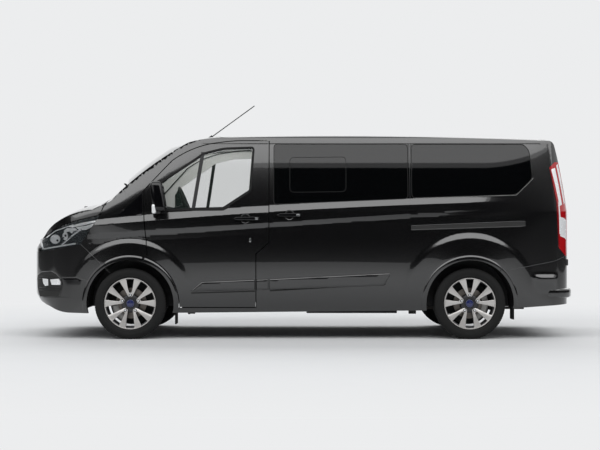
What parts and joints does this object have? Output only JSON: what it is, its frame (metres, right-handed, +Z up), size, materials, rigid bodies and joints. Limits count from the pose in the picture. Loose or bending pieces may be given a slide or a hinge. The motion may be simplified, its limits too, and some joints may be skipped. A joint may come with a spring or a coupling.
{
  "type": "minibus",
  "caption": "Long minibus with hinged front doors, side sliding doors, a bonnet, a lifting tailgate, seats and spoked alloy wheels.",
  "frame": {"origin": "on the ground, under the middle of the vehicle's length and width", "axes": "-X towards the vehicle's front, -Y towards its left side, +Z up"},
  "size_m": [5.34, 2.27, 2.3592],
  "materials": {
    "body_paint": "gloss",
    "black_plastic": "matt",
    "gloss_black": "gloss",
    "clear_glass": "clear",
    "dark_glass": "tinted",
    "lamp_clear": "clear",
    "lamp_red": "gloss",
    "underbody": "matt",
    "seat_cloth": "woven",
    "cast_metal": "rough",
    "steel_pipe": "satin",
    "tyre_rubber": "matt",
    "alloy": "satin",
    "flap_rubber": "matt"
  },
  "bodies": {
    "shell": {"antenna": "black_plastic", "arch_liners": "black_plastic", "bulkhead": "underbody", "cowl_panel": "black_plastic", "dashboard": "black_plastic", "engine_block": "cast_metal", "exhaust": "steel_pipe", "floor_pan": "underbody", "front_bumper": "body_paint", "front_fender_left": "body_paint", "front_fender_right": "body_paint", "front_seats": "seat_cloth", "front_subframe": "underbody", "fuel_tank": "black_plastic", "grille": "gloss_black", "headlamps": "lamp_clear", "mud_flaps": "flap_rubber", "rear_axle": "cast_metal", "rear_bumper": "body_paint", "rear_seats": "seat_cloth", "roof_panel": "body_paint", "side_glass_left": "dark_glass", "side_glass_right": "dark_glass", "side_panel_left": "body_paint", "side_panel_right": "body_paint", "sliding_door_left": "body_paint", "sliding_door_right": "body_paint", "steering_wheel": "black_plastic", "tail_lamps": "lamp_red", "windscreen": "clear_glass"},
    "door_left": {"front_door_left": "body_paint", "front_door_glass_left": "clear_glass", "mirror_left": "black_plastic"},
    "door_right": {"front_door_right": "body_paint", "front_door_glass_right": "clear_glass", "mirror_right": "black_plastic"},
    "bonnet": {"bonnet": "body_paint"},
    "tailgate": {"tailgate": "body_paint", "tailgate_glass": "dark_glass"},
    "knuckle_left": {"knuckle_left": "cast_metal"},
    "knuckle_right": {"knuckle_right": "cast_metal"},
    "wheel_front_left": {"tyre_front_left": "tyre_rubber", "rim_front_left": "alloy"},
    "wheel_front_right": {"tyre_front_right": "tyre_rubber", "rim_front_right": "alloy"},
    "wheel_rear_left": {"tyre_rear_left": "tyre_rubber", "rim_rear_left": "alloy"},
    "wheel_rear_right": {"tyre_rear_right": "tyre_rubber", "rim_rear_right": "alloy"}
  },
  "joints": [
    {"name": "door_left_hinge", "type": "hinge", "parent": "shell", "child": "door_left", "pos_m": [-1.47, -0.975, 0.786], "axis": [0, 0, -1], "range_deg": [0, 65]},
    {"name": "door_right_hinge", "type": "hinge", "parent": "shell", "child": "door_right", "pos_m": [-1.47, 0.975, 0.786], "axis": [0, 0, 1], "range_deg": [0, 65]},
    {"name": "bonnet_hinge", "type": "hinge", "parent": "shell", "child": "bonnet", "pos_m": [-1.935, 0, 1.371], "axis": [0, 1, 0], "range_deg": [0, 55]},
    {"name": "tailgate_hinge", "type": "hinge", "parent": "shell", "child": "tailgate", "pos_m": [2.414, 0, 1.974], "axis": [0, -1, 0], "range_deg": [0, 85]},
    {"name": "steer_left", "type": "hinge", "parent": "shell", "child": "knuckle_left", "pos_m": [-1.666, -0.787, 0.345], "axis": [0, 0, 1], "range_deg": [-35, 35]},
    {"name": "steer_right", "type": "hinge", "parent": "shell", "child": "knuckle_right", "pos_m": [-1.666, 0.787, 0.345], "axis": [0, 0, 1], "range_deg": [-35, 35]},
    {"name": "spin_front_left", "type": "hinge", "parent": "knuckle_left", "child": "wheel_front_left", "pos_m": [-1.666, -0.865, 0.345], "axis": [0, 1, 0], "continuous": true},
    {"name": "spin_front_right", "type": "hinge", "parent": "knuckle_right", "child": "wheel_front_right", "pos_m": [-1.666, 0.865, 0.345], "axis": [0, 1, 0], "continuous": true},
    {"name": "spin_rear_left", "type": "hinge", "parent": "shell", "child": "wheel_rear_left", "pos_m": [1.634, -0.865, 0.345], "axis": [0, 1, 0], "continuous": true},
    {"name": "spin_rear_right", "type": "hinge", "parent": "shell", "child": "wheel_rear_right", "pos_m": [1.634, 0.865, 0.345], "axis": [0, 1, 0], "continuous": true}
  ],
  "couplings": [
    {"joint": "steer_right", "follows": "steer_left", "ratio": 1}
  ]
}
